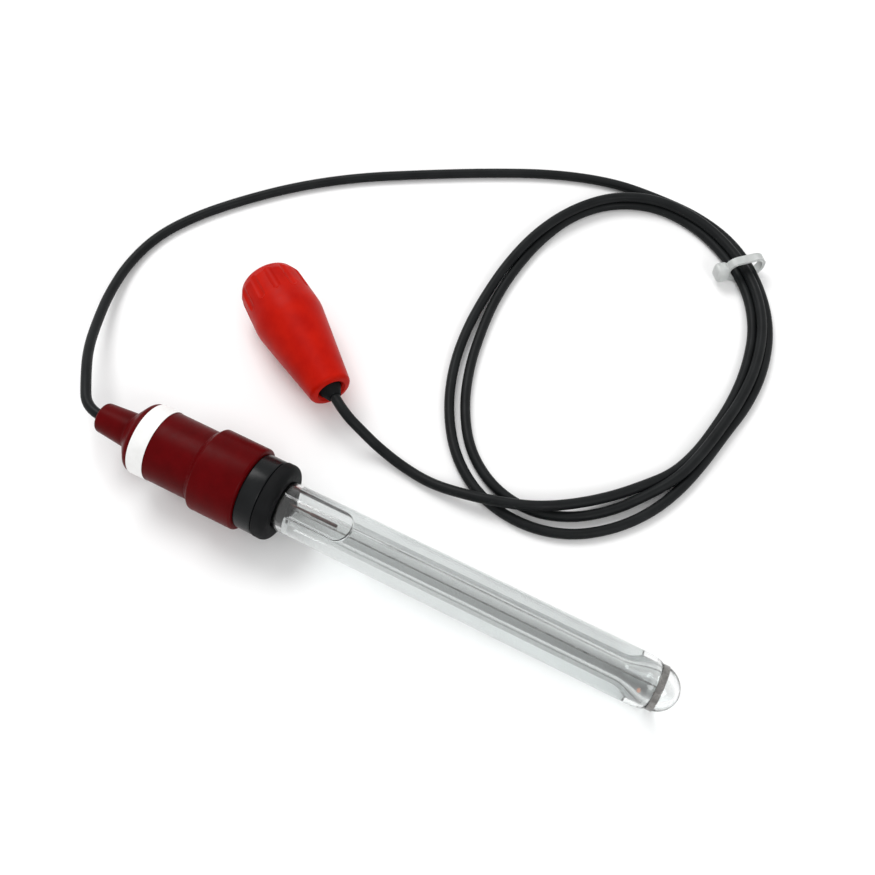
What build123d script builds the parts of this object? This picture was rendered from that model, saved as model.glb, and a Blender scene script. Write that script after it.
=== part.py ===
from build123d import *
import math
import os

# A laboratory redox electrode with a glass shaft, a moulded head, a fixed coaxial cable
# in a loose tied coil, and a bayonet plug in a red grip. It lies on a flat surface:
# +X runs from the head towards the tip, +Z is up, and the origin is under the middle
# of the electrode. Lengths are in millimetres.

# Glass shaft and inner stem
SHAFT_D = 12.0
BOND_D = 11.4
BOND_BEYOND_SEAL = 0.2
BOND_CONE_L = 0.1
SHAFT_WALL = 1.0
STEM_D = 5.2
STEM_WALL = 0.8
EXPOSED_SHAFT = 97.4
TIP_TAPER_L = 11.0
TIP_NECK_D = 10.1
LIP_INSET = 0.55
STEM_FLARE_L = 7.0
DOME_D = 10.3
DOME_WALL = 1.5

# Platinum ring, its lead, the reference wire and the junction
RING_D = 10.54
RING_W = 1.5
RING_FROM_TIP = 5.7
RING_T = 0.35
LEAD_D = 0.4
REFERENCE_WIRE_D = 0.5
REFERENCE_COAT_D = 0.75
REFERENCE_COAT_L = 7.0
REFERENCE_REACH = 12.5
REFERENCE_ANGLE = 5.0
JUNCTION_D = 0.8
JUNCTION_FROM_TIP = 8.8
JUNCTION_ANGLE = 41.0

# Electrolyte with its gas bubble
BUBBLE_L = 15.4
BUBBLE_R = 3.4
BUBBLE_RISE = 3.5

# Moulded head
NOZZLE_END_D = 7.4
NOZZLE_D = 8.9
NOZZLE_L = 8.55
NOZZLE_ROUND = 1.3
SHOULDER_L = 3.4
SHOULDER_ROUND = 1.6
BARREL_D = 17.6
BARREL_L = 16.85
RAMP_L = 1.45
RAMP_ROUND = 0.5
COLLAR_D = 20.6
COLLAR_L = 11.5
COLLAR_ROUND = 0.7
NOZZLE_BORE_D = 4.0
NOZZLE_BORE_L = 9.4
CHAMBER_L = 4.5
NOZZLE_BLEND = 0.9
TUBE_TOP = 17.35

# Label, thrust ring and seal
LABEL_W = 4.3
LABEL_T = 0.1
LABEL_SETBACK = 1.1
LABEL_GAP = 1.6
THRUST_D = 18.5
THRUST_L = 4.6
SEAL_D = 18.8
SEAL_W = 3.5
SEAL_FRONT_ROUND = 1.7
SEAL_BACK_ROUND = 0.5
SEAL_GAP = 0.1

# Fittings inside the head
BUSHING_FLANGE_D = 5.6
BUSHING_FLANGE_L = 1.2
CORE_D = 1.5
CORE_L = 3.6
SPLICE_D = 1.2
SPLICE_L = 3.0
POTTING_BEYOND_SEAL = 2.0

# Grip of the plug
GRIP_L = 38.0
GRIP_FRONT_D = 14.4
GRIP_SHOULDER_D = 16.8
GRIP_SHOULDER_X = 2.6
GRIP_MAX_D = 18.2
GRIP_MAX_X = 13.9
GRIP_CREST_ROUND = 14.0
GRIP_REAR_D = 10.7
GRIP_REAR_ROUND = 1.6
GRIP_LIP = 0.9
GRIP_MOUTH_D = 11.6
GRIP_TAIL_BORE_D = 6.3
GRIP_TAIL_BORE_L = 7.0
GRIP_INNER_D = 11.4
FLUTES = 12
FLUTE_R = 1.7
FLUTE_DEPTH = 0.45
FLUTE_L = 10.0

# Bayonet nut
NUT_D = 13.96
NUT_L = 12.7
NUT_BORE_D = 9.8
NUT_FLANGE_BORE_D = 8.4
NUT_FLANGE_L = 1.2
NUT_SKIRT_D = 11.0
NUT_SKIRT_L = 1.0
SLOT_W = 2.1
SLOT_FLOOR_D = 11.3
SLOT_ENTRY_L = 3.4
SLOT_RAMP_L = 3.2
SLOT_TURN = 84.0
SLOT_POCKET = 0.3

# Plug body, contacts and small parts
CONTACT_D = 8.1
CONTACT_WALL = 0.7
CONTACT_SETBACK = 1.5
CONTACT_SLOTS = 4
CONTACT_SLOT_W = 0.5
CONTACT_SLOT_L = 4.8
BODY_FLANGE_D = 9.6
BODY_FLANGE_L = 1.3
BODY_NECK_D = 8.2
BODY_REAR_D = 10.0
BODY_REAR_L = 6.9
BODY_FLAT_W = 9.0
CRIMP_BARREL_D = 4.9
CRIMP_BARREL_L = 6.5
CRIMP_BORE_D = 3.4
INSULATOR_D = 6.0
INSULATOR_L = 6.7
INSULATOR_NOSE_D = 4.4
INSULATOR_NOSE_L = 1.6
PIN_D = 1.35
PIN_SETBACK = 0.8
PIN_POT_D = 1.9
PIN_POT_L = 5.0
GASKET_W = 0.95
WASHER_D = 9.6
WASHER_BORE_D = 8.4
THRUST_WASHER_T = 0.35
SPRING_WASHER_T = 0.2
SPRING_WASHER_RISE = 0.7
COUPLING_TRAVEL = 0.5
CLIP_D = 9.2
CLIP_T = 0.6
CLIP_GROOVE = 0.45
CLIP_OPENING = 60.0
FERRULE_WALL = 0.4
REAR_SLEEVE_D = 5.7
REAR_SLEEVE_BEYOND = 1.8
REAR_SLEEVE_END_D = 3.4
PLUG_JACKET_L = 1.5

# Clearances, and how far a cutter runs past what it cuts
GLUE_GAP = 0.05
FACE_GAP = 0.05
CUT_OVER = 2.0

# Cable, coil and tie
CORD_D = 2.6
CORD_BORE_D = 2.7
COIL_CENTRE = (27.7, 78.5)
COIL_OUTER = (38.0, 55.0)
COIL_INNER = (31.3, 47.6)
COIL_INNER_SHIFT = 2.2
COIL_HEIGHT = 5.6
COIL_BEVEL = 1.6
TIE_CENTRE = (49.8, 118.6)
TIE_TURN = 42.0
TIE_STRAP_W = 2.2
TIE_STRAP_T = 0.9
TIE_INNER = (9.4, 5.6)
TIE_INNER_ROUND = 2.4
TIE_HEAD = (3.8, 4.4, 4.2)
TIE_HEAD_ROUND = 1.2

# Where the plug lies: the rear face of its grip, and the way its axis points
PLUG_REAR = (-29.1, 32.0)
PLUG_TURN = -34.7

# The cable's route where it isn't coiled
LEAD_BENDS = [
    (-83.8, 7.0, 11.6),
    (-90.0, 15.2, 9.2),
    (-95.2, 24.6, 5.8),
    (-99.7, 35.2, 3.0),
    (-101.8, 46.8, 1.6),
    (-100.2, 58.4, 1.3),
    (-94.4, 69.2, 1.3),
    (-85.4, 80.2, 1.3),
    (-74.0, 91.6, 1.3),
    (-60.3, 102.0, 1.3),
    (-44.3, 111.2, 1.3),
    (-27.3, 120.4, 1.3),
    (-10.3, 128.4, 1.3),
    (6.2, 133.0, 1.3),
    (23.2, 132.6, 1.3),
]
LEAD_EXIT_RUN = 4.8
TAIL_BENDS = [
    (21.2, 26.5, 1.3),
    (12.2, 23.9, 1.3),
    (2.7, 23.4, 1.3),
    (-5.8, 24.6, 1.5),
    (-13.3, 26.0, 3.2),
    (-18.0, 26.9, 5.9),
]
TAIL_EXIT_RUN = 5.1

# Stations along the electrode, from the cable end of its nozzle to the tip
NOZZLE_X = NOZZLE_L
BARREL_X = NOZZLE_X + SHOULDER_L
RAMP_X = BARREL_X + BARREL_L
COLLAR_X = RAMP_X + RAMP_L
THRUST_X = COLLAR_X + COLLAR_L
SEAL_X = THRUST_X + THRUST_L + SEAL_GAP
SEAL_FACE_X = SEAL_X + SEAL_W
BOND_END_X = SEAL_FACE_X + BOND_BEYOND_SEAL
SHAFT_X = BOND_END_X + BOND_CONE_L
TIP_X = SEAL_FACE_X + EXPOSED_SHAFT
TAPER_X = TIP_X - TIP_TAPER_L
DOME_X = TIP_X - DOME_D / 2
RING_X = TIP_X - RING_FROM_TIP
LIP_X = RING_X - FACE_GAP
POTTING_FACE_X = SEAL_FACE_X + POTTING_BEYOND_SEAL
CHAMBER_X = TUBE_TOP - CHAMBER_L
BUSHING_END_X = NOZZLE_BORE_L + BUSHING_FLANGE_L
SPLICE_X = BUSHING_END_X + CORE_L
SEAT_D = RING_D - 2 * RING_T - 2 * GLUE_GAP
SHAFT_BORE_D = SHAFT_D - 2 * SHAFT_WALL
STEM_BORE_D = STEM_D - 2 * STEM_WALL
REFERENCE_R = (SHAFT_BORE_D + STEM_D) / 4
REFERENCE_END_X = POTTING_FACE_X + REFERENCE_REACH
LEAD_END_X = RING_X + RING_W / 2

# Stations along the plug, from the front of its grip to the cable
NUT_END_X = GRIP_LIP + NUT_L
NUT_FLANGE_X = NUT_END_X - NUT_SKIRT_L - NUT_FLANGE_L
THRUST_WASHER_X = NUT_FLANGE_X - FACE_GAP - THRUST_WASHER_T
SPRING_X = THRUST_WASHER_X - FACE_GAP - SPRING_WASHER_RISE - SPRING_WASHER_T
BODY_FLANGE_X = SPRING_X - FACE_GAP - BODY_FLANGE_L
CONTACT_X = GRIP_LIP + CONTACT_SETBACK
CLIP_X = NUT_END_X - NUT_SKIRT_L + FACE_GAP
BODY_REAR_X = NUT_END_X + 1.0
BARREL_CRIMP_X = BODY_REAR_X + BODY_REAR_L
SLEEVE_X = BARREL_CRIMP_X + CRIMP_BARREL_L + FACE_GAP
INSULATOR_X = BODY_FLANGE_X - 1.4
PIN_X = CONTACT_X + PIN_SETBACK
PIN_POT_X = INSULATOR_X + INSULATOR_L + FACE_GAP
SLEEVE_END_X = GRIP_L + REAR_SLEEVE_BEYOND


def turned(points, rounds=()):
    """Solid of revolution about X from (x, radius) points; rounds pairs a point with a radius."""
    face = make_face(Polyline(*points, close=True))
    for point, radius in rounds:
        corner = face.vertices().sort_by_distance((point[0], point[1], 0))[0]
        face = fillet(corner, radius)
    return revolve(face, Axis.X)


def rod(x_start, x_end, diameter):
    """Round bar along X."""
    return turned([(x_start, 0), (x_end, 0), (x_end, diameter / 2), (x_start, diameter / 2)])


def sleeve(x_start, x_end, bore, diameter):
    """Round tube along X."""
    inner, outer = bore / 2, diameter / 2
    return turned([(x_start, inner), (x_end, inner), (x_end, outer), (x_start, outer)])


def around_x(shape, angle):
    """Turn a shape about X, away from +Z towards -Y."""
    return Rot(angle, 0, 0) * shape


def platinum_lead():
    """Wire along the stem's axis with a short branch through the glass to the ring."""
    wire = rod(SPLICE_X + SPLICE_L, LEAD_END_X, LEAD_D)
    reach = RING_D / 2 - RING_T
    branch = Pos(LEAD_END_X, 0, -reach / 2) * Cylinder(LEAD_D / 2, reach)
    return wire + branch


def platinum_ring():
    """Flat band let into the glass between the shaft's lip and the dome."""
    return sleeve(RING_X, RING_X + RING_W, RING_D - 2 * RING_T, RING_D)


def stem_outline():
    """Half section of the inner stem's outside: tube, flare, ring seat and dome."""
    stem, seat = STEM_D / 2, SEAT_D / 2
    flare_end = LIP_X - 1.2
    flare_start = flare_end - STEM_FLARE_L
    ball = DOME_D / 2
    dome_x = RING_X + RING_W + GLUE_GAP
    dome_r = math.sqrt(ball**2 - (dome_x - DOME_X) ** 2)
    mid = math.radians(40)
    return [
        Line((TUBE_TOP, 0), (TUBE_TOP, stem)),
        Line((TUBE_TOP, stem), (flare_start, stem)),
        Spline((flare_start, stem), (flare_end, seat), tangents=((1, 0), (1, 0))),
        Line((flare_end, seat), (dome_x, seat)),
        Line((dome_x, seat), (dome_x, dome_r)),
        ThreePointArc(
            (dome_x, dome_r),
            (DOME_X + ball * math.cos(mid), ball * math.sin(mid)),
            (TIP_X, 0),
        ),
        Line((TIP_X, 0), (TUBE_TOP, 0)),
    ]


def stem_cavity():
    """Bore of the stem, which widens inside the flare and closes inside the dome."""
    bore = STEM_BORE_D / 2
    flare_start = LIP_X - 1.2 - STEM_FLARE_L
    wide = SEAT_D / 2 - DOME_WALL
    end_x = TIP_X - DOME_WALL
    return revolve(
        make_face(
            [
                Line((TUBE_TOP, 0), (TUBE_TOP, bore)),
                Line((TUBE_TOP, bore), (flare_start, bore)),
                Spline((flare_start, bore), (LIP_X, wide), tangents=((1, 0), (1, 0))),
                Spline((LIP_X, wide), (end_x, 0), tangents=((1, 0), (0, -1))),
                Line((end_x, 0), (TUBE_TOP, 0)),
            ]
        ),
        Axis.X,
    )


def inner_stem():
    """Glass stem with its closed domed end, round the lead."""
    outside = revolve(make_face(stem_outline()), Axis.X)
    return outside - stem_cavity() - platinum_lead()


def shaft_outside():
    """Outside of the shaft: a thinner end for the glue, the full tube and a turned-in lip."""
    bond, outer, neck = BOND_D / 2, SHAFT_D / 2, TIP_NECK_D / 2
    lip_start = LIP_X - 0.7
    return revolve(
        make_face(
            [
                Line((TUBE_TOP, 0), (TUBE_TOP, bond)),
                Line((TUBE_TOP, bond), (BOND_END_X, bond)),
                Line((BOND_END_X, bond), (SHAFT_X, outer)),
                Line((SHAFT_X, outer), (TAPER_X, outer)),
                Spline(
                    (TAPER_X, outer),
                    (lip_start, neck + LIP_INSET),
                    (LIP_X, neck),
                    tangents=((1, 0), (0.25, -1)),
                ),
                Line((LIP_X, neck), (LIP_X, 0)),
                Line((LIP_X, 0), (TUBE_TOP, 0)),
            ]
        ),
        Axis.X,
    )


def shaft_bore():
    """Space inside the shaft, which closes in on the stem's ring seat at the lip."""
    bore, seat = SHAFT_BORE_D / 2, SEAT_D / 2 + GLUE_GAP
    close_x = LIP_X - 1.4
    return revolve(
        make_face(
            [
                Line((TUBE_TOP, 0), (TUBE_TOP, bore)),
                Line((TUBE_TOP, bore), (TAPER_X, bore)),
                Spline((TAPER_X, bore), (close_x, seat), tangents=((1, 0), (1, -0.1))),
                Line((close_x, seat), (LIP_X, seat)),
                Line((LIP_X, seat), (LIP_X, 0)),
                Line((LIP_X, 0), (TUBE_TOP, 0)),
            ]
        ),
        Axis.X,
    )


def ceramic_junction():
    """Porous ceramic pin through the shaft's wall near the tip."""
    x = TIP_X - JUNCTION_FROM_TIP
    pin = Pos(x, 0, SHAFT_D / 2 - SHAFT_WALL / 2) * Cylinder(JUNCTION_D / 2, 2 * SHAFT_WALL)
    return around_x(pin, JUNCTION_ANGLE) & (shaft_outside() - shaft_bore())


def shaft_tube():
    """Outer glass tube of the shaft, drilled for the junction."""
    return shaft_outside() - shaft_bore() - ceramic_junction()


def reference_wire():
    """Silver wire with a coated end, in the space between stem and shaft."""
    start_x = SPLICE_X + SPLICE_L
    coat_x = REFERENCE_END_X - REFERENCE_COAT_L
    thin, thick = REFERENCE_WIRE_D / 2, REFERENCE_COAT_D / 2
    wire = turned(
        [
            (start_x, 0),
            (start_x, thin),
            (coat_x, thin),
            (coat_x + thick, thick),
            (REFERENCE_END_X, thick),
            (REFERENCE_END_X, 0),
        ],
        rounds=[((REFERENCE_END_X, thick), 0.9 * thick)],
    )
    return around_x(Pos(0, 0, REFERENCE_R) * wire, REFERENCE_ANGLE)


def potting_plug():
    """Black sealing resin in the top of the shaft, round the stem and the wire."""
    inner, outer = STEM_D / 2 + GLUE_GAP, SHAFT_BORE_D / 2 - GLUE_GAP
    middle = (inner + outer) / 2
    ring = revolve(
        make_face(
            [
                Line((TUBE_TOP, inner), (TUBE_TOP, outer)),
                Line((TUBE_TOP, outer), (POTTING_FACE_X + 0.5, outer)),
                ThreePointArc(
                    (POTTING_FACE_X + 0.5, outer),
                    (POTTING_FACE_X - 0.3, middle),
                    (POTTING_FACE_X + 0.5, inner),
                ),
                Line((POTTING_FACE_X + 0.5, inner), (TUBE_TOP, inner)),
            ]
        ),
        Axis.X,
    )
    return ring - reference_wire()


def electrolyte():
    """Clear gel between stem and shaft, with a gas bubble under the top of the glass."""
    start_x = POTTING_FACE_X + 0.6
    end_x = LIP_X - 1.5
    block = rod(start_x, end_x, SHAFT_D) & shaft_bore()
    stem = revolve(make_face(stem_outline()), Axis.X)
    nose_x = start_x + BUBBLE_L - BUBBLE_R
    bubble = rod(start_x - CUT_OVER, nose_x, 2 * BUBBLE_R) + Pos(nose_x, 0, 0) * Sphere(BUBBLE_R)
    return block - stem - Pos(0, 0, BUBBLE_RISE) * bubble - reference_wire()


def head_cap():
    """Moulded head: cable nozzle, shoulder, barrel, ramp and collar over a stepped bore."""
    bore = BOND_D / 2 + GLUE_GAP
    nozzle_bore = NOZZLE_BORE_D / 2
    barrel, collar = BARREL_D / 2, COLLAR_D / 2
    return turned(
        [
            (0, nozzle_bore),
            (0, NOZZLE_END_D / 2),
            (NOZZLE_X, NOZZLE_D / 2),
            (BARREL_X, barrel),
            (RAMP_X, barrel),
            (COLLAR_X, collar),
            (THRUST_X, collar),
            (THRUST_X, bore),
            (CHAMBER_X, bore),
            (NOZZLE_BORE_L, nozzle_bore),
        ],
        rounds=[
            ((0, NOZZLE_END_D / 2), NOZZLE_ROUND),
            ((NOZZLE_X, NOZZLE_D / 2), NOZZLE_BLEND),
            ((BARREL_X, barrel), SHOULDER_ROUND),
            ((RAMP_X, barrel), RAMP_ROUND),
            ((COLLAR_X, collar), RAMP_ROUND),
            ((THRUST_X, collar), COLLAR_ROUND),
        ],
    )


def label_band():
    """Blank wrap-round label on the barrel with its ends a little apart underneath."""
    start_x = BARREL_X + LABEL_SETBACK
    bore = BARREL_D + 2 * GLUE_GAP
    band = sleeve(start_x, start_x + LABEL_W, bore, bore + 2 * LABEL_T)
    gap = Pos(start_x + LABEL_W / 2, 0, -BARREL_D / 2) * Box(LABEL_W + CUT_OVER, LABEL_GAP, CUT_OVER)
    return band - gap


def thrust_ring():
    """Black ring between the collar and the seal."""
    bore, outer = BOND_D / 2 + GLUE_GAP, THRUST_D / 2
    start_x = THRUST_X + FACE_GAP
    end_x = THRUST_X + THRUST_L
    return turned(
        [(start_x, bore), (start_x, outer), (end_x, outer), (end_x, bore)],
        rounds=[((end_x, outer), 0.4), ((start_x, outer), 0.3)],
    )


def seal_ring():
    """Thick rubber ring on the shaft that seals against the holder."""
    bore, outer = BOND_D / 2 + GLUE_GAP, SEAL_D / 2
    return turned(
        [(SEAL_X, bore), (SEAL_X, outer), (SEAL_FACE_X, outer), (SEAL_FACE_X, bore)],
        rounds=[
            ((SEAL_X, outer), SEAL_BACK_ROUND),
            ((SEAL_FACE_X, outer), SEAL_FRONT_ROUND),
            ((SEAL_FACE_X, bore), SEAL_BACK_ROUND),
        ],
    )


def cable_bushing():
    """Rubber bushing that holds the cable in the nozzle."""
    body = sleeve(0, BUSHING_END_X, CORD_BORE_D, NOZZLE_BORE_D - 2 * GLUE_GAP)
    flange = sleeve(NOZZLE_BORE_L, BUSHING_END_X, CORD_BORE_D, BUSHING_FLANGE_D)
    return body + (flange - head_cap())


def cable_in_head():
    """End of the cable inside the head: its jacket in the bushing, then the bared core."""
    jacket = rod(0, BUSHING_END_X, CORD_D)
    return jacket + rod(BUSHING_END_X, SPLICE_X, CORE_D)


def cable_in_plug():
    """End of the cable inside the plug: its jacket in the sleeve, then the core to the pin."""
    jacket_x = SLEEVE_X - PLUG_JACKET_L
    core_x = PIN_POT_X + PIN_POT_L + FACE_GAP
    return rod(jacket_x, SLEEVE_END_X, CORD_D) + rod(core_x, jacket_x, CORE_D)


def core_splice():
    """Sleeve that joins the cable's core to the platinum lead."""
    return rod(SPLICE_X + FACE_GAP, SPLICE_X + SPLICE_L - FACE_GAP, SPLICE_D)


def shield_splice():
    """Sleeve that joins the cable's shield to the reference wire."""
    start_x = BUSHING_END_X + CORE_L / 2
    splice = rod(start_x, SPLICE_X + SPLICE_L - FACE_GAP, SPLICE_D)
    return around_x(Pos(0, 0, REFERENCE_R) * splice, REFERENCE_ANGLE)


def grip_radius(x):
    """Outer radius of the grip in front of its widest place."""
    share = (x - GRIP_SHOULDER_X) / (GRIP_MAX_X - GRIP_SHOULDER_X)
    return (GRIP_SHOULDER_D + share * (GRIP_MAX_D - GRIP_SHOULDER_D)) / 2


def grip_shroud():
    """Hollow red grip with a rounded front, finger flutes and a long taper to the cable."""
    mouth, front = GRIP_MOUTH_D / 2, GRIP_FRONT_D / 2
    bay, inner = NUT_D / 2 + 0.02, GRIP_INNER_D / 2
    tail = GRIP_TAIL_BORE_D / 2
    rear = GRIP_REAR_D / 2
    rear_x = GRIP_L - 0.2
    body = turned(
        [
            (0, mouth),
            (0, front),
            (GRIP_SHOULDER_X, GRIP_SHOULDER_D / 2),
            (GRIP_MAX_X, GRIP_MAX_D / 2),
            (rear_x, rear),
            (GRIP_L, rear - GRIP_REAR_ROUND),
            (GRIP_L, tail + 0.6),
            (GRIP_L - 0.7, tail),
            (GRIP_L - GRIP_TAIL_BORE_L, tail),
            (BARREL_CRIMP_X, inner),
            (NUT_END_X + 0.6, inner),
            (NUT_END_X + 0.1, bay),
            (GRIP_LIP, bay),
            (GRIP_LIP, mouth),
        ],
        rounds=[
            ((0, front), 0.9),
            ((GRIP_SHOULDER_X, GRIP_SHOULDER_D / 2), 2.4),
            ((GRIP_MAX_X, GRIP_MAX_D / 2), GRIP_CREST_ROUND),
            ((rear_x, rear), 1.2),
            ((0, mouth), 0.4),
        ],
    )
    slope = math.degrees(math.atan2(grip_radius(FLUTE_L) - grip_radius(0), FLUTE_L))
    offset = grip_radius(0) + FLUTE_R - FLUTE_DEPTH
    cutter = rod(-CUT_OVER, FLUTE_L - FLUTE_R, 2 * FLUTE_R)
    cutter += Pos(FLUTE_L - FLUTE_R, 0, 0) * Sphere(FLUTE_R)
    cutter = Pos(0, 0, offset) * Rot(0, -slope, 0) * cutter
    for k in range(FLUTES):
        body -= Rot(k * 360 / FLUTES, 0, 0) * cutter
    return body


def bayonet_slot():
    """Cutter for one cam slot: a straight entry, a helical ramp and a pocket at its end."""
    reach = (SLOT_FLOOR_D - NUT_BORE_D) / 2 + 1.0
    middle = SLOT_FLOOR_D / 2 - reach / 2
    ramp = Helix(SLOT_RAMP_L * 360 / SLOT_TURN, SLOT_RAMP_L, middle)
    start = Plane(ramp @ 0, x_dir=(1, 0, 0), z_dir=ramp % 0)
    slot = sweep(start * Rectangle(reach, SLOT_W), path=ramp, is_frenet=True)
    entry_l = SLOT_ENTRY_L + CUT_OVER
    slot += Pos(middle, 0, -entry_l / 2) * Box(reach, SLOT_W, entry_l)
    end = Pos(middle, 0, 0) * Rot(0, 90, 0) * Cylinder(SLOT_W / 2, reach)
    slot += end
    slot += Rot(0, 0, SLOT_TURN) * Pos(0, 0, SLOT_RAMP_L - SLOT_POCKET) * end
    slot += Rot(0, 0, SLOT_TURN) * Pos(0, 0, SLOT_RAMP_L) * end
    return Pos(GRIP_LIP + SLOT_ENTRY_L, 0, 0) * Rot(0, 90, 0) * slot


def bayonet_nut():
    """Coupling nut with two cam slots and the inner flange that pulls on the washers."""
    outer, bore = NUT_D / 2, NUT_BORE_D / 2
    flange, skirt = NUT_FLANGE_BORE_D / 2, NUT_SKIRT_D / 2
    flange_end = NUT_FLANGE_X + NUT_FLANGE_L
    nut = turned(
        [
            (GRIP_LIP, bore),
            (GRIP_LIP, outer),
            (NUT_END_X, outer),
            (NUT_END_X, skirt),
            (flange_end, skirt),
            (flange_end, flange),
            (NUT_FLANGE_X, flange),
            (NUT_FLANGE_X, bore),
        ]
    )
    for turn in (0, 180):
        nut -= Rot(turn, 0, 0) * bayonet_slot()
    return nut


def plug_body():
    """Turned body: slotted outer contact, flange, neck with clip groove, rear and crimp barrel."""
    contact, bore = CONTACT_D / 2, CONTACT_D / 2 - CONTACT_WALL
    neck, groove = BODY_NECK_D / 2, BODY_NECK_D / 2 - CLIP_GROOVE
    flange, rear = BODY_FLANGE_D / 2, BODY_REAR_D / 2
    seat = INSULATOR_D / 2 + 0.02
    barrel, barrel_bore = CRIMP_BARREL_D / 2, CRIMP_BORE_D / 2
    seat_end = INSULATOR_X + INSULATOR_L + 0.02
    flange_end = BODY_FLANGE_X + BODY_FLANGE_L
    body = turned(
        [
            (CONTACT_X, bore),
            (CONTACT_X, contact),
            (BODY_FLANGE_X, contact),
            (BODY_FLANGE_X, flange),
            (flange_end, flange),
            (flange_end, neck),
            (CLIP_X, neck),
            (CLIP_X, groove),
            (CLIP_X + CLIP_T + FACE_GAP, groove),
            (CLIP_X + CLIP_T + FACE_GAP, neck),
            (BODY_REAR_X, neck),
            (BODY_REAR_X, rear),
            (BARREL_CRIMP_X, rear),
            (BARREL_CRIMP_X, barrel),
            (BARREL_CRIMP_X + CRIMP_BARREL_L, barrel),
            (BARREL_CRIMP_X + CRIMP_BARREL_L, barrel_bore),
            (seat_end, barrel_bore),
            (seat_end, seat),
            (INSULATOR_X, seat),
            (INSULATOR_X, bore),
        ]
    )
    slit = Pos(CONTACT_X + (CONTACT_SLOT_L - CUT_OVER) / 2, 0, 0)
    slit *= Box(CONTACT_SLOT_L + CUT_OVER, CONTACT_SLOT_W, 2 * CONTACT_D)
    for k in range(CONTACT_SLOTS // 2):
        body -= Rot(45 + k * 360 / CONTACT_SLOTS, 0, 0) * slit
    flat = Pos((BODY_REAR_X + BARREL_CRIMP_X) / 2, 0, (BODY_FLAT_W + BODY_REAR_D) / 2)
    flat *= Box(BODY_REAR_L - 1.6, BODY_REAR_D, BODY_REAR_D)
    for turn in (0, 180):
        body -= Rot(turn, 0, 0) * flat
    return body


def insulator():
    """White dielectric bead with its nose, bored for the pin."""
    seat, nose, hole = INSULATOR_D / 2, INSULATOR_NOSE_D / 2, PIN_D / 2 + 0.02
    end_x = INSULATOR_X + INSULATOR_L
    nose_x = INSULATOR_X - INSULATOR_NOSE_L
    return turned(
        [
            (nose_x, hole),
            (nose_x, nose),
            (INSULATOR_X, nose),
            (INSULATOR_X, seat),
            (end_x, seat),
            (end_x, hole),
        ]
    )


def center_pin():
    """Gilt centre contact with a rounded tip and a solder pot behind the bead."""
    pin, pot = PIN_D / 2, PIN_POT_D / 2
    end_x = PIN_POT_X + PIN_POT_L
    return turned(
        [
            (PIN_X, 0),
            (PIN_X, pin),
            (PIN_POT_X, pin),
            (PIN_POT_X, pot),
            (end_x, pot),
            (end_x, 0),
        ],
        rounds=[((PIN_X, pin), 0.8 * pin)],
    )


def face_gasket():
    """Silicone ring round the root of the outer contact."""
    start_x = BODY_FLANGE_X - FACE_GAP - GASKET_W
    bore = CONTACT_D + 2 * GLUE_GAP
    return sleeve(start_x, start_x + GASKET_W, bore, BODY_FLANGE_D)


def thrust_washer():
    """Flat washer between the spring washer and the nut's flange."""
    return sleeve(THRUST_WASHER_X, THRUST_WASHER_X + THRUST_WASHER_T, WASHER_BORE_D, WASHER_D)


def spring_washer():
    """Curved washer: a flat ring bent about an axis across it."""
    half = WASHER_D / 2
    rise = SPRING_WASHER_RISE
    bend_r = (half**2 + rise**2) / (2 * rise)
    crown_x = SPRING_X
    width = WASHER_D + CUT_OVER
    shell = Cylinder(bend_r + SPRING_WASHER_T, width) - Cylinder(bend_r, width)
    shell = Pos(crown_x + bend_r + SPRING_WASHER_T, 0, 0) * shell
    ring = sleeve(crown_x, crown_x + rise + SPRING_WASHER_T, WASHER_BORE_D, WASHER_D)
    return ring & shell


def retaining_clip():
    """Open spring clip in the groove behind the nut's flange."""
    start_x = CLIP_X + FACE_GAP / 2
    bore = BODY_NECK_D - 2 * CLIP_GROOVE + 2 * GLUE_GAP
    ring = sleeve(start_x, start_x + CLIP_T, bore, CLIP_D)
    width = CLIP_D * math.sin(math.radians(CLIP_OPENING / 2))
    gap = Pos(start_x + CLIP_T / 2, 0, CLIP_D / 2) * Box(CLIP_T + CUT_OVER, width, CLIP_D)
    return ring - gap


def crimp_ferrule():
    """Crimped sleeve that clamps the cable's shield on the barrel."""
    bore = CRIMP_BARREL_D + 2 * GLUE_GAP
    start_x = BARREL_CRIMP_X + FACE_GAP
    return sleeve(start_x, start_x + CRIMP_BARREL_L - FACE_GAP, bore, bore + 2 * FERRULE_WALL)


def rear_sleeve():
    """Black strain relief on the cable in the narrow end of the grip."""
    outer, end, bore = REAR_SLEEVE_D / 2, REAR_SLEEVE_END_D / 2, CORD_BORE_D / 2
    cone_x = GRIP_L - 0.6
    return turned(
        [
            (SLEEVE_X, bore),
            (SLEEVE_X, outer),
            (cone_x, outer),
            (SLEEVE_END_X, end),
            (SLEEVE_END_X, bore),
        ],
        rounds=[((cone_x, outer), 0.8)],
    )


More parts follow.
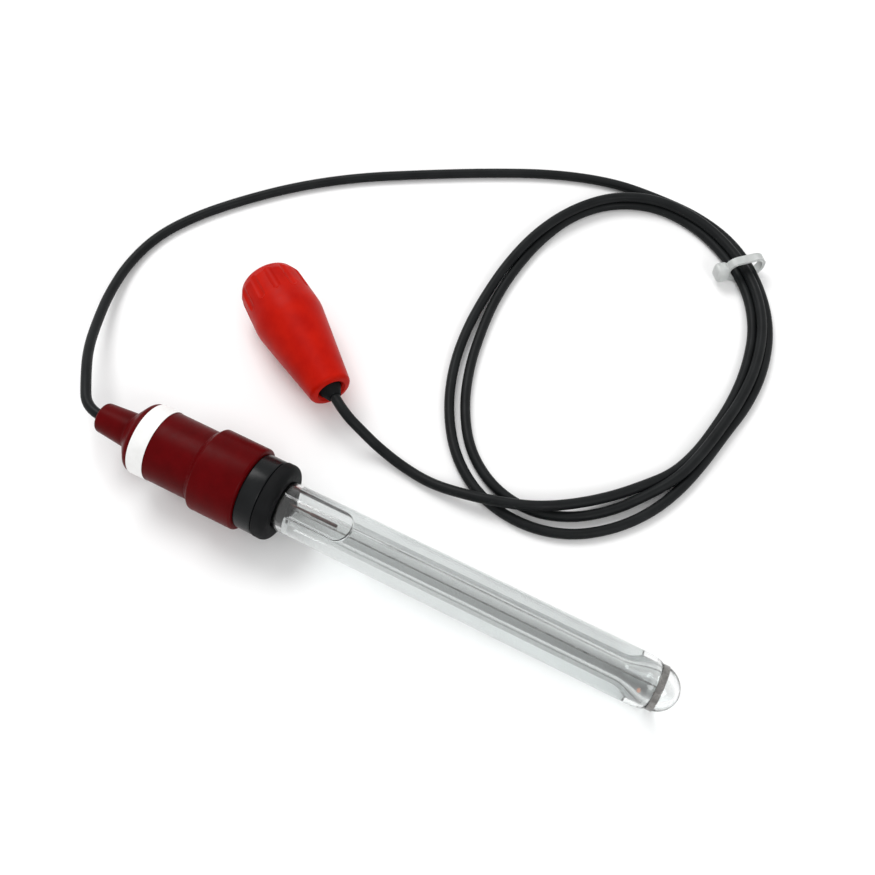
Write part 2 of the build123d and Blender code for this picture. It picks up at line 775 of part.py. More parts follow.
def cable_tie():
    """Nylon tie round the coil: a strap loop, its head and a short cut end."""
    inner_w, inner_h = TIE_INNER
    outer_w, outer_h = inner_w + 2 * TIE_STRAP_T, inner_h + 2 * TIE_STRAP_T
    outer = RectangleRounded(outer_w, outer_h, TIE_INNER_ROUND + TIE_STRAP_T)
    inner = RectangleRounded(inner_w, inner_h, TIE_INNER_ROUND)
    loop = extrude(outer - inner, TIE_STRAP_W / 2, both=True)
    head_w, head_h, head_l = TIE_HEAD
    head_x = -(outer_w / 2 + head_w / 2 - TIE_STRAP_T)
    head = Pos(head_x, 0, 0) * Box(head_w, head_h, head_l)
    head = fillet(head.edges(), TIE_HEAD_ROUND)
    head -= extrude(Pos(0, 0) * inner, TIE_STRAP_W, both=True)
    tie = loop + head
    upright = Rot(90, 0, 0) * tie
    return Pos(*TIE_CENTRE, outer_h / 2) * Rot(0, 0, TIE_TURN) * upright


def cord_coil():
    """Outer shape of the coil: a low oval ring with bevelled edges that runs through the tie."""
    window = Pos(0, COIL_INNER_SHIFT) * Ellipse(*COIL_INNER)
    ring = extrude(Ellipse(*COIL_OUTER) - window, COIL_HEIGHT)
    ring = chamfer(ring.edges(), COIL_BEVEL)
    return Pos(*COIL_CENTRE, TIE_STRAP_T) * ring


def cord_tube(points):
    """Round tube along straight runs joined by arcs that are as large as the runs allow."""
    corners = [Vector(*p) for p in points]
    radii = []
    for a, b, c in zip(corners, corners[1:], corners[2:]):
        half_turn = math.radians((b - a).get_angle(c - b)) / 2
        radii.append(0.45 * min((b - a).length, (c - b).length) / math.tan(half_turn))
    path = FilletPolyline(*points, radius=radii)
    tube = sweep(Plane(path @ 0, z_dir=path % 0) * Circle(CORD_D / 2), path=path)
    section = math.pi * CORD_D**2 / 4
    print("cord radii", [round(r, 1) for r in radii])
    print("cord length", round(path.length, 1), "volume", round(tube.volume, 1))
    print("section times length", round(section * path.length, 1))
    return tube


# The electrode rests on its collar and on the end of its shaft, so it tips down a little
contact_run = TAPER_X - (THRUST_X - COLLAR_ROUND)
TILT = math.degrees(math.atan2((COLLAR_D - SHAFT_D) / 2, contact_run))
tilted = Rot(0, TILT, 0)
outline = (tilted * (head_cap() + shaft_outside() + inner_stem())).bounding_box()
place_electrode = Pos(-outline.center().X, 0, -outline.min.Z) * tilted

plug_axis = (math.cos(math.radians(PLUG_TURN)), math.sin(math.radians(PLUG_TURN)))
plug_front = (PLUG_REAR[0] - GRIP_L * plug_axis[0], PLUG_REAR[1] - GRIP_L * plug_axis[1])
place_plug = Pos(*plug_front, GRIP_MAX_D / 2) * Rot(0, 0, PLUG_TURN)


def placed(place, x):
    """A point on a placed axis, as a tuple."""
    return tuple((place * Pos(x, 0, 0)).position)


lead_points = [placed(place_electrode, 0), placed(place_electrode, -LEAD_EXIT_RUN)] + LEAD_BENDS
tail_points = TAIL_BENDS + [
    placed(place_plug, SLEEVE_END_X + TAIL_EXIT_RUN),
    placed(place_plug, SLEEVE_END_X),
]

electrode_pieces = {
    "shaft_tube": shaft_tube(),
    "inner_stem": inner_stem(),
    "platinum_ring": platinum_ring(),
    "platinum_lead": platinum_lead(),
    "reference_wire": reference_wire(),
    "ceramic_junction": ceramic_junction(),
    "electrolyte": electrolyte(),
    "potting_plug": potting_plug(),
    "head_cap": head_cap(),
    "label_band": label_band(),
    "thrust_ring": thrust_ring(),
    "seal_ring": seal_ring(),
    "cable_bushing": cable_bushing(),
    "cable_in_head": cable_in_head(),
    "core_splice": core_splice(),
    "shield_splice": shield_splice(),
}
plug_pieces = {
    "grip_shroud": grip_shroud(),
    "bayonet_nut": bayonet_nut(),
    "plug_body": plug_body(),
    "plug_insulator": insulator(),
    "center_pin": center_pin(),
    "face_gasket": face_gasket(),
    "thrust_washer": thrust_washer(),
    "spring_washer": spring_washer(),
    "retaining_clip": retaining_clip(),
    "crimp_ferrule": crimp_ferrule(),
    "rear_sleeve": rear_sleeve(),
    "cable_in_plug": cable_in_plug(),
}
cord_pieces = {
    "cord_lead": cord_tube(lead_points),
    "cord_coil": cord_coil(),
    "cord_tail": cord_tube(tail_points),
    "cable_tie": cable_tie(),
}

os.makedirs("parts", exist_ok=True)
groups = [(place_electrode, electrode_pieces), (place_plug, plug_pieces), (Pos(0, 0, 0), cord_pieces)]
for place, pieces in groups:
    for name, piece in pieces.items():
        export_step(place * piece, f"parts/{name}.step")
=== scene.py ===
import math

import bmesh
import bpy
from mathutils import Matrix, Vector


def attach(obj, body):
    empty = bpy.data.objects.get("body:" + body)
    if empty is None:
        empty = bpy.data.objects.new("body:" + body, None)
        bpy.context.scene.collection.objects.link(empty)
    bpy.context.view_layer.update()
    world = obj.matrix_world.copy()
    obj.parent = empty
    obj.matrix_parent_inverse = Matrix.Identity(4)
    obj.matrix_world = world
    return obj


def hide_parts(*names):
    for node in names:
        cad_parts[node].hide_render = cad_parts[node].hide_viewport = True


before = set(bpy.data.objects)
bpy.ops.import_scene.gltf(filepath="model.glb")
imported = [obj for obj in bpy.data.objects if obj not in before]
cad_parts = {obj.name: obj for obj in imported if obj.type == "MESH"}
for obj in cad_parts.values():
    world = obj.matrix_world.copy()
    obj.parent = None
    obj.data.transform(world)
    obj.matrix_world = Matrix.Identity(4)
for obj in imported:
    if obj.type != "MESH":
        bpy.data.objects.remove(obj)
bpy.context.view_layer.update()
MM = 0.001
BASE, NUT, WASHER = "electrode_and_cable", "coupling_nut", "coupling_washer"

# Camera, at the photograph's viewing angle and place; its focal length is in pixels of the picture
CAMERA_PLACE = (0.0504, -0.0694, 0.2210)
FOCAL_PX, PICTURE_PX, SENSOR_MM = 1000, 875, 36
azimuth, elevation = math.radians(26.41), math.radians(61.87)
back = Vector(
    (
        math.sin(azimuth) * math.cos(elevation),
        -math.cos(azimuth) * math.cos(elevation),
        math.sin(elevation),
    )
)
right = Vector((math.cos(azimuth), math.sin(azimuth), 0))
up = back.cross(right)
camera = bpy.data.objects.new("camera", bpy.data.cameras.new("camera"))
bpy.context.scene.collection.objects.link(camera)
camera.matrix_world = Matrix.Translation(CAMERA_PLACE) @ Matrix(
    (right, up, back)
).transposed().to_4x4()
camera.data.sensor_width = SENSOR_MM
camera.data.lens = SENSOR_MM * FOCAL_PX / PICTURE_PX
camera.data.clip_start = 0.01
camera.data.dof.use_dof = False
bpy.context.scene.camera = camera

# Cable, in millimetres: the lead and the tail as in the part's source, and the coil's three turns
LEAD = [
    (-73.55, 0.0, 12.23),
    (-78.34, 0.0, 12.45),
    (-83.8, 7.0, 11.6),
    (-90.0, 15.2, 9.2),
    (-95.2, 24.6, 5.8),
    (-99.7, 35.2, 3.0),
    (-101.8, 46.8, 1.6),
    (-100.2, 58.4, 1.3),
    (-94.4, 69.2, 1.3),
    (-85.4, 80.2, 1.3),
    (-74.0, 91.6, 1.3),
    (-60.3, 102.0, 1.3),
    (-44.3, 111.2, 1.3),
    (-27.3, 120.4, 1.3),
    (-10.3, 128.4, 1.3),
    (6.2, 133.0, 1.3),
    (19.7, 133.1, 1.3),
]
FIRST_TURN = [
    (33.1, 131.8, 1.3),
    (45.4, 126.7, 1.3),
    (55.2, 116.8, 1.3),
    (62.1, 104.8, 1.3),
    (64.9, 91.5, 1.3),
    (64.5, 79.1, 1.3),
    (62.0, 68.6, 1.3),
    (60.1, 59.1, 1.3),
    (57.4, 49.4, 1.3),
    (53.1, 40.2, 1.3),
    (46.4, 32.0, 1.3),
    (37.5, 25.8, 1.3),
    (26.6, 23.4, 1.3),
    (14.9, 25.5, 1.3),
    (4.7, 32.6, 1.3),
    (-2.8, 43.5, 1.3),
    (-7.4, 55.8, 1.3),
    (-9.4, 68.2, 1.4),
    (-9.5, 80.5, 1.8),
    (-8.4, 92.5, 2.6),
    (-5.4, 104.7, 3.6),
    (0.2, 116.4, 3.9),
    (8.7, 126.0, 3.9),
]
SECOND_TURN = [
    (20.4, 130.6, 3.9),
    (33.0, 129.4, 3.4),
    (44.5, 123.9, 3.0),
    (54.2, 114.9, 3.0),
    (60.5, 103.3, 3.0),
    (62.8, 90.4, 3.0),
    (62.4, 78.8, 3.2),
    (60.6, 68.9, 3.5),
    (58.6, 59.7, 3.4),
    (55.7, 51.0, 2.9),
    (50.5, 43.8, 1.7),
    (44.6, 36.6, 1.3),
    (36.6, 30.4, 1.3),
    (26.8, 27.4, 1.3),
    (16.2, 29.4, 1.3),
    (6.8, 36.1, 1.3),
    (0.3, 46.5, 1.3),
    (-3.6, 57.7, 1.3),
    (-5.6, 68.8, 1.3),
    (-6.7, 79.9, 1.3),
    (-6.2, 91.5, 1.3),
    (-4.1, 103.7, 1.3),
    (0.5, 116.0, 1.3),
    (8.9, 125.4, 1.3),
]
THIRD_TURN = [
    (20.4, 129.9, 1.3),
    (32.8, 128.2, 1.3),
    (44.1, 122.0, 1.3),
    (53.2, 113.3, 1.3),
    (58.8, 101.8, 1.3),
    (60.7, 89.4, 1.3),
    (60.6, 78.6, 1.3),
    (59.2, 69.1, 1.3),
    (57.4, 60.5, 1.3),
    (54.2, 52.4, 1.4),
    (49.1, 46.1, 1.9),
    (43.3, 39.8, 2.2),
    (36.2, 33.5, 3.2),
    (28.7, 28.4, 4.3),
]
TAIL = [
    (21.2, 25.8, 4.2),
    (12.2, 23.9, 3.6),
    (2.7, 23.4, 1.8),
    (-5.8, 24.6, 1.5),
    (-13.3, 26.0, 3.2),
    (-18.0, 26.9, 5.9),
    (-23.43, 28.07, 9.1),
    (-27.62, 30.97, 9.1),
]
CORD_D = 2.6


def spline(name, points, radius):
    """One open NURBS spline through control points in millimetres, as a round cord."""
    curve = bpy.data.curves.new(name, "CURVE")
    curve.dimensions = "3D"
    line = curve.splines.new("NURBS")
    line.points.add(len(points) - 1)
    for knot, p in zip(line.points, points):
        knot.co = (p[0] * MM, p[1] * MM, p[2] * MM, 1)
        knot.radius = radius * MM
    line.order_u = 3
    line.use_endpoint_u = True
    line.resolution_u = 8
    curve.bevel_depth = 1.0
    curve.bevel_resolution = 8
    curve.use_fill_caps = True
    obj = bpy.data.objects.new(name, curve)
    bpy.context.scene.collection.objects.link(obj)
    return obj


cable = spline("cable", LEAD + FIRST_TURN + SECOND_TURN + THIRD_TURN + TAIL, CORD_D / 2)
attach(cable, BASE)
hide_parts("cord_lead", "cord_coil", "cord_tail")

# Where the electrode lies: the middle of its nozzle's end, and how far it tips down
NOZZLE_PLACE, TILT = (-73.5455, 0, 12.2347), math.radians(2.5835)
on_electrode = Matrix.Translation([v * MM for v in NOZZLE_PLACE]) @ Matrix.Rotation(TILT, 4, "Y")

# Half the angle at a corner above which its outline counts as straight, and a radius that counts as none
STRAIGHT = 1.55
AXIS_R = 1e-4


def rounded(points, steps=8):
    """Outline in millimetres with its corners rounded; a point may carry a radius as third value."""
    out = []
    n = len(points)
    for i, point in enumerate(points):
        here = Vector(point[:2])
        radius = point[2] if len(point) > 2 else 0
        before, after = Vector(points[i - 1][:2]), Vector(points[(i + 1) % n][:2])
        a, b = (before - here).normalized(), (after - here).normalized()
        half = math.acos(max(-1, min(1, a.dot(b)))) / 2
        if not radius or half > STRAIGHT:
            out.append(here)
            continue
        reach = radius / math.tan(half)
        reach = min(reach, 0.49 * (before - here).length, 0.49 * (after - here).length)
        radius = reach * math.tan(half)
        centre = here + (a + b).normalized() * radius / math.sin(half)
        start, end = here + a * reach - centre, here + b * reach - centre
        sweep = start.angle_signed(end)
        for k in range(steps + 1):
            out.append(centre + Matrix.Rotation(-sweep * k / steps, 2) @ start)
    return out


def smooth(obj, angle=35):
    """Smooth shading with sharp edges kept."""
    for face in obj.data.polygons:
        face.use_smooth = True
    obj.data.set_sharp_from_angle(angle=math.radians(angle))


def mesh_object(name, bm, angle=35):
    """Object of a bmesh, smooth shaded."""
    bmesh.ops.recalc_face_normals(bm, faces=bm.faces)
    mesh = bpy.data.meshes.new(name)
    bm.to_mesh(mesh)
    bm.free()
    obj = bpy.data.objects.new(name, mesh)
    bpy.context.scene.collection.objects.link(obj)
    smooth(obj, angle)
    return obj


def lathe(name, points, place, body, turns=128, angle=35, steps=8):
    """Piece turned about its own X axis from a closed outline in millimetres."""
    outline = rounded(points, steps)
    bm = bmesh.new()
    rings = []
    for p in outline:
        if p.y < AXIS_R:
            rings.append([bm.verts.new(place @ Vector((p.x * MM, 0, 0)))])
            continue
        ring = []
        for k in range(turns):
            a = 2 * math.pi * k / turns
            spot = Vector((p.x * MM, -p.y * MM * math.sin(a), p.y * MM * math.cos(a)))
            ring.append(bm.verts.new(place @ spot))
        rings.append(ring)
    for ring, after in zip(rings, rings[1:] + rings[:1]):
        for k in range(turns):
            m = (k + 1) % turns
            if len(ring) == 1 and len(after) == 1:
                break
            if len(ring) == 1:
                bm.faces.new((ring[0], after[m], after[k]))
            elif len(after) == 1:
                bm.faces.new((ring[k], ring[m], after[0]))
            else:
                bm.faces.new((ring[k], ring[m], after[m], after[k]))
    obj = mesh_object(name, bm, angle)
    if body:
        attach(obj, body)
    return obj


# Materials
def nodes_of(name):
    """New material with an empty node tree, its tree, and its output node."""
    material = bpy.data.materials.new(name)
    material.use_nodes = True
    tree = material.node_tree
    tree.nodes.clear()
    output = tree.nodes.new("ShaderNodeOutputMaterial")
    return material, tree, output


def node(tree, kind, **values):
    """Node of a kind with its properties and inputs set."""
    made = tree.nodes.new(kind)
    for key, value in values.items():
        key = key.replace("_", " ") if key[0].isupper() else key
        if key in made.inputs:
            made.inputs[key].default_value = value
        else:
            setattr(made, key, value)
    return made


def ramp(tree, source, stops):
    """Color ramp from a source socket; stops are (place, colour)."""
    made = tree.nodes.new("ShaderNodeValToRGB")
    band = made.color_ramp
    while len(band.elements) > 1:
        band.elements.remove(band.elements[-1])
    band.elements[0].position, band.elements[0].color = stops[0][0], (*stops[0][1], 1)
    for place, colour in stops[1:]:
        element = band.elements.new(place)
        element.color = (*colour, 1)
    tree.links.new(source, made.inputs["Fac"])
    return made.outputs["Color"]


def noise(tree, scale, detail=4, stretch=(1, 1, 1), rough=0.55):
    """Noise in object coordinates, in features per metre."""
    coords = tree.nodes.new("ShaderNodeTexCoord")
    mapping = tree.nodes.new("ShaderNodeMapping")
    mapping.inputs["Scale"].default_value = stretch
    tree.links.new(coords.outputs["Object"], mapping.inputs["Vector"])
    made = node(tree, "ShaderNodeTexNoise", Scale=scale, Detail=detail, Roughness=rough)
    tree.links.new(mapping.outputs["Vector"], made.inputs["Vector"])
    return made.outputs["Fac"]


def bump(tree, shader, height, strength, distance):
    """Adds a bump to a shader, after any bump that it already has."""
    made = node(tree, "ShaderNodeBump", Strength=strength, Distance=distance)
    tree.links.new(height, made.inputs["Height"])
    slot = shader.inputs["Normal"]
    if slot.is_linked:
        tree.links.new(slot.links[0].from_socket, made.inputs["Normal"])
    tree.links.new(made.outputs["Normal"], slot)


def spread(tree, source, low, high):
    """Maps a 0.3 to 0.7 noise to a range."""
    made = node(tree, "ShaderNodeMapRange")
    made.inputs["From Min"].default_value = 0.3
    made.inputs["From Max"].default_value = 0.7
    made.inputs["To Min"].default_value = low
    made.inputs["To Max"].default_value = high
    tree.links.new(source, made.inputs["Value"])
    return made.outputs["Result"]


def plastic(name, dark, light, rough, grain=2500, grain_mm=0.004, scale=180, gloss=0.5):
    """Moulded plastic or rubber with slight mottling, uneven gloss and a fine grain."""
    material, tree, output = nodes_of(name)
    shader = node(tree, "ShaderNodeBsdfPrincipled")
    shader.inputs["Specular IOR Level"].default_value = gloss
    mottle = noise(tree, scale, 5)
    tree.links.new(ramp(tree, mottle, [(0.3, dark), (0.7, light)]), shader.inputs["Base Color"])
    tree.links.new(spread(tree, noise(tree, scale * 4, 3), *rough), shader.inputs["Roughness"])
    bump(tree, shader, noise(tree, grain, 3), 0.5, grain_mm * MM)
    tree.links.new(shader.outputs[0], output.inputs[0])
    return material


def metal(name, dark, light, rough, stretch=(1, 1, 1), scale=900):
    """Turned or plated metal with fine marks and uneven gloss."""
    material, tree, output = nodes_of(name)
    shader = node(tree, "ShaderNodeBsdfPrincipled", Metallic=1.0)
    marks = noise(tree, scale, 6, stretch)
    tree.links.new(ramp(tree, marks, [(0.3, dark), (0.7, light)]), shader.inputs["Base Color"])
    tree.links.new(spread(tree, marks, *rough), shader.inputs["Roughness"])
    bump(tree, shader, noise(tree, scale * 3, 2, stretch), 0.3, 0.002 * MM)
    tree.links.new(shader.outputs[0], output.inputs[0])
    return material


# What is left of the light that passes a clear wall, where a shadow would be
SHADOW_TINT = (0.93, 0.94, 0.94, 1)


def clear(name, colour, ior, rough=0.0, wave_mm=0.0):
    """Clear glass or gel whose shadow lets the light through."""
    material, tree, output = nodes_of(name)
    shader = node(tree, "ShaderNodeBsdfPrincipled", Roughness=rough, IOR=ior)
    shader.inputs["Base Color"].default_value = (*colour, 1)
    shader.inputs["Transmission Weight"].default_value = 1.0
    if wave_mm:
        bump(tree, shader, noise(tree, 60, 2, (0.25, 1, 1)), 1.0, wave_mm * MM)
    through = node(tree, "ShaderNodeBsdfTransparent")
    through.inputs["Color"].default_value = SHADOW_TINT
    light = tree.nodes.new("ShaderNodeLightPath")
    mix = tree.nodes.new("ShaderNodeMixShader")
    tree.links.new(light.outputs["Is Shadow Ray"], mix.inputs[0])
    tree.links.new(shader.outputs[0], mix.inputs[1])
    tree.links.new(through.outputs[0], mix.inputs[2])
    tree.links.new(mix.outputs[0], output.inputs[0])
    return material


GLASS = clear("borosilicate_glass", (0.91, 0.92, 0.918), 1.473, wave_mm=0.02)
GEL = clear("electrolyte_gel", (0.97, 0.978, 0.978), 1.36)
HEAD_RED = plastic(
    "dark_red_plastic", (0.07, 0.0006, 0.0012), (0.1, 0.0009, 0.0018), (0.3, 0.4), gloss=0.04
)
GRIP_RED = plastic(
    "red_plastic", (0.38, 0.004, 0.001), (0.48, 0.008, 0.0016), (0.34, 0.45), gloss=0.06
)
BLACK_PLASTIC = plastic(
    "black_plastic", (0.006, 0.0065, 0.007), (0.01, 0.011, 0.0115), (0.18, 0.28), gloss=0.12
)
RUBBER = plastic(
    "black_rubber", (0.005, 0.0052, 0.0055), (0.009, 0.0095, 0.01), (0.5, 0.65), gloss=0.06
)
JACKET = plastic(
    "cable_jacket",
    (0.006, 0.0068, 0.0072),
    (0.011, 0.0122, 0.0128),
    (0.36, 0.5),
    grain=1800,
    grain_mm=0.01,
    gloss=0.1,
)
RESIN = plastic(
    "sealing_resin",
    (0.001, 0.001, 0.001),
    (0.003, 0.003, 0.003),
    (0.5, 0.7),
    grain_mm=0.03,
    gloss=0.05,
)
# Platinum's base colour is set far darker than the metal's own: painted dark reflection, standing in for
# the dark surroundings that the ring mirrors
PLATINUM_PAINTED_DARK = metal("platinum", (0.16, 0.155, 0.15), (0.26, 0.255, 0.245), (0.2, 0.32))
SILVER = metal("coated_silver", (0.03, 0.016, 0.014), (0.09, 0.05, 0.045), (0.5, 0.75))
NICKEL = metal("nickel_plate", (0.58, 0.56, 0.52), (0.7, 0.68, 0.64), (0.15, 0.28))
STEEL = metal("spring_steel", (0.42, 0.42, 0.43), (0.58, 0.58, 0.58), (0.25, 0.4))
GILT = metal("gilt", (0.7, 0.48, 0.16), (0.86, 0.62, 0.24), (0.15, 0.25))
TINNED = metal("tinned_copper", (0.45, 0.33, 0.24), (0.62, 0.5, 0.4), (0.3, 0.45))
FRIT = plastic("ceramic_frit", (0.42, 0.25, 0.2), (0.62, 0.42, 0.35), (0.7, 0.85), grain_mm=0.02)
BEAD = plastic("white_dielectric", (0.78, 0.78, 0.75), (0.86, 0.86, 0.84), (0.35, 0.5))
LABEL = plastic("label_film", (0.8, 0.8, 0.79), (0.88, 0.88, 0.87), (0.28, 0.4), scale=300)
NYLON = plastic("natural_nylon", (0.62, 0.64, 0.63), (0.76, 0.78, 0.77), (0.3, 0.42), scale=400)
# Nylon lets some light through
nylon_inputs = next(n for n in NYLON.node_tree.nodes if n.type == "BSDF_PRINCIPLED").inputs
nylon_inputs["Transmission Weight"].default_value = 0.45
nylon_inputs["Subsurface Weight"].default_value = 0.3
nylon_inputs["Subsurface Radius"].default_value = (0.002, 0.002, 0.002)


def wear(obj, material):
    """Gives a piece its material."""
    obj.data.materials.clear()
    obj.data.materials.append(material)


wear(cable, JACKET)

# Electrode, stations in millimetres from the cable end of its nozzle
NOZZLE_END, SHOULDER_END, RAMP_START, RAMP_END, COLLAR_END = 8.55, 11.95, 28.8, 30.25, 41.75
CABLE_HOLE_END, CHAMBER, TUBE_TOP = 9.4, 12.85, 17.35
THRUST_START, THRUST_END = 41.8, 46.35
SEAL_START, SEAL_FACE, POTTING = 46.45, 49.95, 51.95
BOND_END, SHAFT_START = SEAL_FACE + 0.2, SEAL_FACE + 0.3
FLARE, TAPER, LIP = 133.4, 136.35, 141.6
RING_START, RING_END, DOME, TIP = 141.65, 143.15, 142.2, 147.35

# Its radii in millimetres
CABLE_HOLE_R, NOZZLE_END_R, NOZZLE_R, BARREL_R, COLLAR_R = 2.0, 3.7, 4.45, 8.8, 10.3
THRUST_R, SEAL_R = 9.25, 9.4
BOND_R, BOND_BORE_R, SHAFT_R, BORE_R = 5.7, 5.75, 6.0, 5.0
LIP_START_R, LIP_EDGE_R, LIP_R, LIP_BORE_R = 5.6, 5.4, 5.1, 4.9
STEM_R, STEM_BORE_R, SEAT_R, CAVITY_R = 2.6, 1.8, 4.82, 3.3
RING_R, RING_BORE_R, DOME_R = 5.27, 4.93, 5.15

# How far the gel reaches into the glass, so that no film of air lies between them
INTO_GLASS = 0.015
GEL_START = POTTING + 0.6
GEL_END, GEL_END_R = LIP - 1.5, 4.78
BUBBLE_R, BUBBLE_L, BUBBLE_RISE = 3.4, 15.4, 3.5


def curve_points(start, end, tangents, count=14):
    """Points of a cubic from start to end with given end directions."""
    p0, p3 = Vector(start), Vector(end)
    span = (p3 - p0).length / 3
    p1 = p0 + Vector(tangents[0]).normalized() * span
    p2 = p3 - Vector(tangents[1]).normalized() * span
    out = []
    for k in range(1, count):
        t = k / count
        s = 1 - t
        out.append(tuple(p0 * s**3 + p1 * 3 * s * s * t + p2 * 3 * s * t * t + p3 * t**3))
    return out


def glass_shaft():
    """Outer tube: a thinner glued end, the full tube, and a lip turned in at the ring."""
    lip_start, throat = LIP - 0.7, LIP - 1.4
    outside = [(TUBE_TOP, BORE_R), (TUBE_TOP, BOND_R), (BOND_END, BOND_R)]
    outside += [(SHAFT_START, SHAFT_R), (TAPER, SHAFT_R)]
    outside += curve_points((TAPER, SHAFT_R), (lip_start, LIP_START_R), ((1, 0), (1, -0.28)))
    lip = [(lip_start, LIP_START_R), (LIP - 0.18, LIP_EDGE_R), (LIP, LIP_R, 0.15)]
    lip += [(LIP, LIP_BORE_R), (throat, LIP_BORE_R)]
    inside = curve_points((throat, LIP_BORE_R), (TAPER, BORE_R), ((-1, 0.1), (-1, 0)), 8)
    inside.append((TAPER, BORE_R))
    shaft = lathe("glass_shaft", outside + lip + inside, on_electrode, BASE, angle=50)
    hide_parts("shaft_tube")
    wear(shaft, GLASS)


# The stem's flare up to the ring's seat, which the gel follows too
flare = curve_points((FLARE, STEM_R), (LIP - 1.2, SEAT_R), ((1, 0), (1, 0)))


def glass_stem():
    """Inner tube with its flare, the ring's seat and the hollow dome that closes the tip."""
    steps, first = 18, 78.8
    dome = []
    for k in range(steps):
        a = math.radians(first * (1 - k / steps))
        dome.append((DOME + DOME_R * math.cos(a), DOME_R * math.sin(a)))
    dome.append((TIP, 0.0))
    cavity_end = TIP - 1.5
    cavity = curve_points((LIP, CAVITY_R), (cavity_end, 0.0), ((1, 0), (0, -1)))
    widening = curve_points((FLARE, STEM_BORE_R), (LIP, CAVITY_R), ((1, 0), (1, 0)))
    outside = [(TUBE_TOP, STEM_BORE_R), (TUBE_TOP, STEM_R), (FLARE, STEM_R)] + flare
    outside += [(LIP - 1.2, SEAT_R), (RING_END + 0.05, SEAT_R)] + dome
    inside = [(cavity_end, 0.0)] + cavity[::-1] + [(LIP, CAVITY_R)] + widening[::-1]
    inside.append((FLARE, STEM_BORE_R))
    stem = lathe("glass_stem", outside + inside, on_electrode, BASE, angle=50)
    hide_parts("inner_stem")
    wear(stem, GLASS)


def gas_bubble():
    """Cutter for the bubble that lies against the top of the glass."""
    nose = GEL_START + BUBBLE_L - BUBBLE_R
    outline = [(POTTING - 1, 0.0), (POTTING - 1, BUBBLE_R), (nose, BUBBLE_R)]
    for k in range(1, 15):
        a = math.radians(6 * k)
        outline.append((nose + BUBBLE_R * math.sin(a), BUBBLE_R * math.cos(a)))
    outline.append((nose + BUBBLE_R, 0.0))
    place = on_electrode @ Matrix.Translation((0, 0, BUBBLE_RISE * MM))
    return lathe("bubble_cutter", outline, place, None)


def gel_fill():
    """Gel between stem and shaft, with the bubble cut out of it."""
    inner, outer = STEM_R - INTO_GLASS, BORE_R + INTO_GLASS
    outline = [(GEL_START, inner), (GEL_START, outer), (TAPER, outer)]
    outline += [(GEL_END, LIP_BORE_R + INTO_GLASS), (GEL_END, GEL_END_R)]
    outline += [(x, r - INTO_GLASS) for x, r in flare[::-1] if r < 4.7]
    outline.append((FLARE, inner))
    gel = lathe("gel_fill", outline, on_electrode, BASE, angle=50)
    wear(gel, GEL)
    bubble = gas_bubble()
    cut = gel.modifiers.new("bubble", "BOOLEAN")
    cut.operation, cut.solver, cut.object = "DIFFERENCE", "EXACT", bubble
    depsgraph = bpy.context.evaluated_depsgraph_get()
    carved = bpy.data.meshes.new_from_object(gel.evaluated_get(depsgraph))
    gel.modifiers.clear()
    gel.data = carved
    smooth(gel, 40)
    bpy.data.objects.remove(bubble)
    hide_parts("electrolyte")


def ring_band():
    """Platinum band with slightly broken edges."""
    outline = [(RING_START, RING_BORE_R), (RING_START, RING_R, 0.1)]
    outline += [(RING_END, RING_R, 0.1), (RING_END, RING_BORE_R)]
    ring = lathe("ring_band", outline, on_electrode, BASE)
    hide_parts("platinum_ring")
    wear(ring, PLATINUM_PAINTED_DARK)


def head_piece():
    """Moulded head: nozzle, shoulder, barrel, ramp and collar, each corner with its rounding."""
    outline = [
        (0, CABLE_HOLE_R),
        (0, NOZZLE_END_R, 1.2),
        (NOZZLE_END, NOZZLE_R, 0.9),
        (SHOULDER_END, BARREL_R, 1.6),
        (RAMP_START, BARREL_R, 0.5),
        (RAMP_END, COLLAR_R, 0.5),
        (COLLAR_END, COLLAR_R, 0.7),
        (COLLAR_END, BOND_BORE_R),
        (CHAMBER, BOND_BORE_R),
        (CABLE_HOLE_END, CABLE_HOLE_R),
    ]
    head = lathe("head", outline, on_electrode, BASE)
    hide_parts("head_cap")
    wear(head, HEAD_RED)


def thrust_piece():
    """Glossy black ring between collar and seal."""
    outline = [(THRUST_START, BOND_BORE_R), (THRUST_START, THRUST_R, 0.3)]
    outline += [(THRUST_END, THRUST_R, 0.4), (THRUST_END, BOND_BORE_R)]
    thrust = lathe("thrust", outline, on_electrode, BASE)
    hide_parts("thrust_ring")
    wear(thrust, BLACK_PLASTIC)


def seal_piece():
    """Matt rubber seal with a well rounded front."""
    outline = [(SEAL_START, BOND_BORE_R), (SEAL_START, SEAL_R, 0.5)]
    outline += [(SEAL_FACE, SEAL_R, 1.7), (SEAL_FACE, BOND_BORE_R, 0.4)]
    seal = lathe("seal", outline, on_electrode, BASE)
    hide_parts("seal_ring")
    wear(seal, RUBBER)


glass_shaft()
glass_stem()
gel_fill()
ring_band()
head_piece()
thrust_piece()
seal_piece()

# Pieces that keep the solids' own shape and get a material
PLUG_MATERIALS = {
    "grip_shroud": GRIP_RED,
    "bayonet_nut": NICKEL,
    "plug_body": NICKEL,
    "plug_insulator": BEAD,
    "center_pin": GILT,
    "face_gasket": RUBBER,
    "thrust_washer": STEEL,
    "spring_washer": STEEL,
    "retaining_clip": STEEL,
    "crimp_ferrule": NICKEL,
    "rear_sleeve": RUBBER,
    "cable_in_plug": JACKET,
}
OTHER_MATERIALS = {
    "ceramic_junction": FRIT,
    "platinum_lead": PLATINUM_PAINTED_DARK,
    "reference_wire": SILVER,
    "potting_plug": RESIN,
    "label_band": LABEL,
    "cable_bushing": RUBBER,
    "cable_in_head": JACKET,
    "core_splice": TINNED,
    "shield_splice": TINNED,
    "cable_tie": NYLON,
}
for name, material in {**OTHER_MATERIALS, **PLUG_MATERIALS}.items():
    wear(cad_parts[name], material)

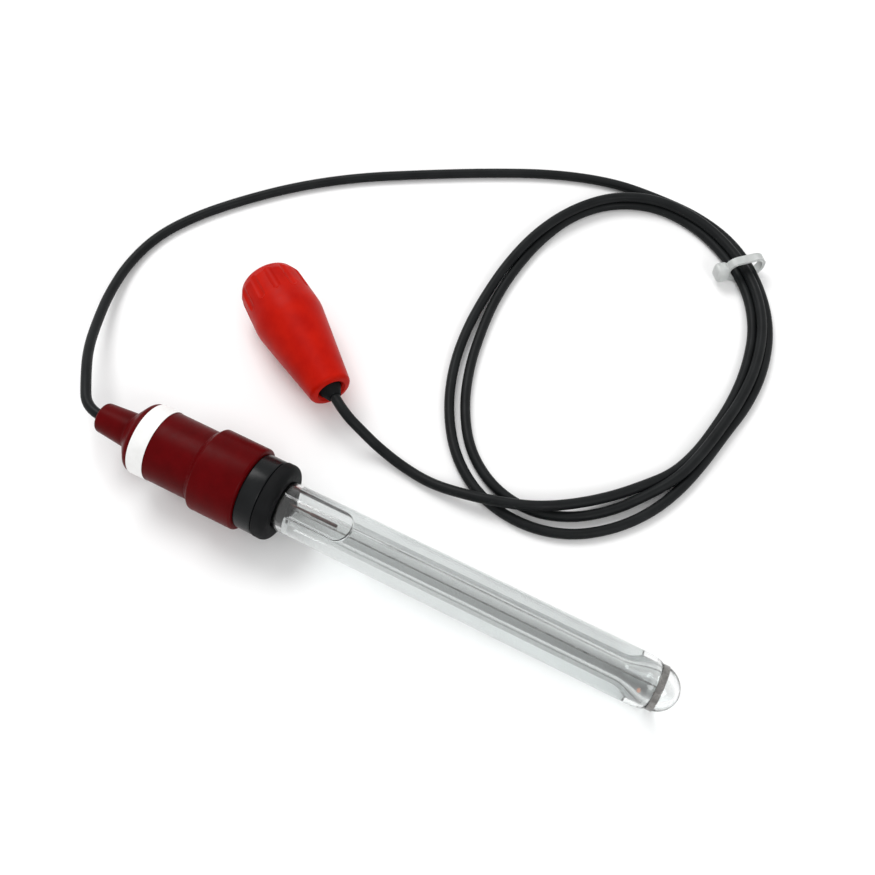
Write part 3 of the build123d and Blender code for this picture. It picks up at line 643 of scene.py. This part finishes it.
# Stage: floor, world and lamps
# Half the floor's width and its gap below the part in metres, and how bright the world shines on it
FLOOR_HALF, FLOOR_DROP = 3.0, 0.00005
SOFT_LIGHT = 0.72


def pale_floor():
    """Wide pale floor just under the part, which keeps its shadow."""
    grid = bmesh.new()
    bmesh.ops.create_grid(grid, x_segments=1, y_segments=1, size=FLOOR_HALF)
    floor = mesh_object("floor", grid)
    floor.location = (0, 0, -FLOOR_DROP)
    material, tree, output = nodes_of("pale_floor")
    shader = node(tree, "ShaderNodeBsdfDiffuse")
    tones = [(0.3, (0.93, 0.93, 0.93)), (0.7, (0.96, 0.96, 0.96))]
    tree.links.new(ramp(tree, noise(tree, 12, 3), tones), shader.inputs["Color"])
    tree.links.new(shader.outputs[0], output.inputs[0])
    floor.data.materials.append(material)


def larger(tree, first, second):
    """Larger of two sockets."""
    made = node(tree, "ShaderNodeMath", operation="MAXIMUM")
    tree.links.new(first, made.inputs[0])
    tree.links.new(second, made.inputs[1])
    return made.outputs[0]


def studio_world():
    """White for camera, glossy and transmission rays, and a softer light for the rest."""
    world = bpy.data.worlds.new("studio")
    bpy.context.scene.world = world
    world.use_nodes = True
    tree = world.node_tree
    tree.nodes.clear()
    output = tree.nodes.new("ShaderNodeOutputWorld")
    white = node(tree, "ShaderNodeBackground", Strength=1.0)
    soft = node(tree, "ShaderNodeBackground", Strength=SOFT_LIGHT)
    for background in (white, soft):
        background.inputs["Color"].default_value = (1, 1, 1, 1)
    rays = tree.nodes.new("ShaderNodeLightPath").outputs
    seen = larger(tree, rays["Is Camera Ray"], rays["Is Glossy Ray"])
    mix = tree.nodes.new("ShaderNodeMixShader")
    tree.links.new(larger(tree, seen, rays["Is Transmission Ray"]), mix.inputs[0])
    tree.links.new(soft.outputs[0], mix.inputs[1])
    tree.links.new(white.outputs[0], mix.inputs[2])
    tree.links.new(mix.outputs[0], output.inputs[0])


pale_floor()
studio_world()


def area_lamp(name, place, target, size, power):
    """Soft rectangular lamp that points at a target."""
    lamp = bpy.data.lights.new(name, "AREA")
    lamp.shape, lamp.size, lamp.size_y, lamp.energy = "RECTANGLE", size[0], size[1], power
    obj = bpy.data.objects.new(name, lamp)
    bpy.context.scene.collection.objects.link(obj)
    obj.location = place
    obj.rotation_euler = (Vector(target) - Vector(place)).to_track_quat("-Z", "Y").to_euler()


MIDDLE = (0, 0.05, 0)
area_lamp("key", place=(-0.45, 0.35, 0.75), target=MIDDLE, size=(0.5, 0.35), power=4.0)
area_lamp("fill", place=(0.6, -0.35, 0.6), target=MIDDLE, size=(0.35, 0.35), power=2.0)

bpy.context.scene.view_settings.view_transform = "Standard"
bpy.context.view_layer.update()
